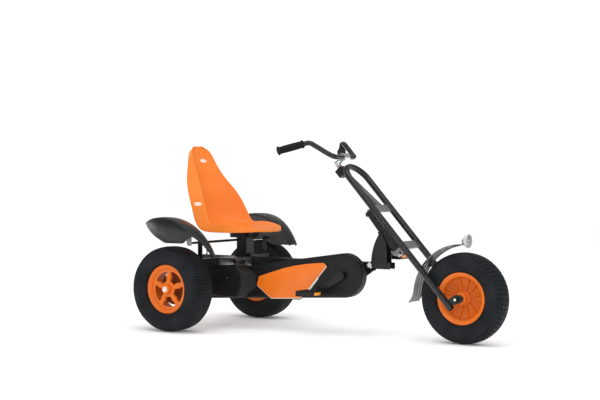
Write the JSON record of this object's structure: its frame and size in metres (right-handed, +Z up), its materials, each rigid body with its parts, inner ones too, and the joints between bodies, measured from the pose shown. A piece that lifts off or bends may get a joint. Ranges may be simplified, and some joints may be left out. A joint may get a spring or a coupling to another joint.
{
  "type": "pedal go kart",
  "caption": "Three-wheeled chopper-style pedal go-kart with a long raked fork, bucket seat, enclosed chain drive, rear fenders and a headlight.",
  "frame": {"origin": "on the ground under the middle of the wheelbase", "axes": "+X forwards to the front wheel, +Z up, +Y to the rider's left"},
  "size_m": [1.782, 0.876, 0.9055],
  "materials": {
    "frame_black": "gloss black powder coat",
    "fork_black": "high gloss black paint",
    "steel_grey": "zinc plated sheet steel",
    "steel": "turned steel",
    "chrome": "bright chrome",
    "bronze": "sintered bronze",
    "guard_black": "textured black plastic",
    "trim_black": "satin black plastic",
    "fender_black": "satin black plastic",
    "orange_plastic": "orange moulded plastic",
    "orange_shield": "orange printed shield",
    "orange_rim": "orange moulded rim",
    "tyre_black": "black tyre rubber",
    "grip_rubber": "ribbed grip rubber",
    "cap_white": "off-white hub cap",
    "lamp_chrome": "chromed lamp shell",
    "lens_clear": "clear ribbed lens"
  },
  "bodies": {
    "frame": {"main_beam": "frame_black", "tube_plugs": "trim_black", "rear_cross_tube": "frame_black", "axle_brackets": "frame_black", "frame_bearings": "steel", "crank_hanger": "frame_black", "guard_inner": "guard_black", "guard_outer": "guard_black", "guard_panel": "orange_shield", "hub_cover": "guard_black", "cover_screws": "chrome", "axle_carrier": "steel_grey", "drive_chain": "steel", "neck_plates": "frame_black", "head_tube": "frame_black", "head_bushes": "bronze", "neck_bolt": "chrome", "seat_mast": "frame_black", "seat_rail": "steel_grey", "fender_stays": "frame_black", "fender_brackets": "steel_grey", "fender_right": "fender_black", "fender_left": "fender_black", "tow_loop": "steel"},
    "seat": {"seat_carriage": "frame_black", "seat_shell": "orange_plastic", "seat_bolts": "steel"},
    "seat_lever": {"seat_lever": "trim_black"},
    "crank": {"crank_axle": "steel", "crank_arms": "frame_black", "chainring": "steel", "pedal_spindles": "steel"},
    "pedal_right": {"pedal_right": "trim_black"},
    "pedal_left": {"pedal_left": "trim_black"},
    "gear_hub": {"gear_hub": "steel"},
    "rear_axle": {"rear_axle": "steel", "rim_right": "orange_rim", "tyre_right": "tyre_black", "cap_right": "cap_white"},
    "wheel_left": {"rim_left": "orange_rim", "tyre_left": "tyre_black", "cap_left": "cap_white"},
    "fork": {"fork_legs": "fork_black", "fork_column": "steel_grey", "fork_plates": "steel_grey", "upper_crown": "frame_black", "lower_crown": "steel_grey", "steering_bolt": "steel", "dropouts": "steel_grey", "front_axle": "steel", "stem": "chrome", "handlebar": "fork_black", "grips": "grip_rubber", "front_fender": "steel_grey", "headlight": "lamp_chrome", "lamp_lens": "lens_clear"},
    "wheel_front": {"rim_front": "orange_rim", "tyre_front": "tyre_black", "front_bearings": "steel"}
  },
  "joints": [
    {"name": "steering", "type": "hinge", "parent": "frame", "child": "fork", "pos_m": [0.2061, 0, 0.5677], "axis": [-0.6361, 0, 0.7716], "range_deg": [-40, 40]},
    {"name": "front_wheel_spin", "type": "hinge", "parent": "fork", "child": "wheel_front", "pos_m": [0.6875, 0, 0.2035], "axis": [0, 1, 0], "continuous": true},
    {"name": "rear_axle_spin", "type": "hinge", "parent": "frame", "child": "rear_axle", "pos_m": [-0.6875, 0, 0.2035], "axis": [0, 1, 0], "continuous": true},
    {"name": "left_wheel_spin", "type": "hinge", "parent": "frame", "child": "wheel_left", "pos_m": [-0.6875, 0.361, 0.2035], "axis": [0, 1, 0], "continuous": true},
    {"name": "crank_spin", "type": "hinge", "parent": "frame", "child": "crank", "pos_m": [0.1045, 0, 0.2825], "axis": [0, 1, 0], "continuous": true, "deforming": ["drive_chain"]},
    {"name": "gear_hub_spin", "type": "hinge", "parent": "frame", "child": "gear_hub", "pos_m": [-0.6875, -0.067, 0.2035], "axis": [0, 1, 0], "continuous": true},
    {"name": "right_pedal_spin", "type": "hinge", "parent": "crank", "child": "pedal_right", "pos_m": [-0.02355, -0.18, 0.20061], "axis": [0, 1, 0], "continuous": true},
    {"name": "left_pedal_spin", "type": "hinge", "parent": "crank", "child": "pedal_left", "pos_m": [0.23255, 0.18, 0.36439], "axis": [0, 1, 0], "continuous": true},
    {"name": "seat_slide", "type": "slide", "parent": "frame", "child": "seat", "axis": [1, 0, 0], "range_m": [-0.025, 0.025]},
    {"name": "seat_lever_turn", "type": "hinge", "parent": "seat", "child": "seat_lever", "pos_m": [-0.5025, -0.03, 0.453], "axis": [0, 1, 0], "range_deg": [-75, 0]}
  ],
  "couplings": [
    {"joint": "gear_hub_spin", "follows": "crank_spin", "ratio": 2}
  ]
}
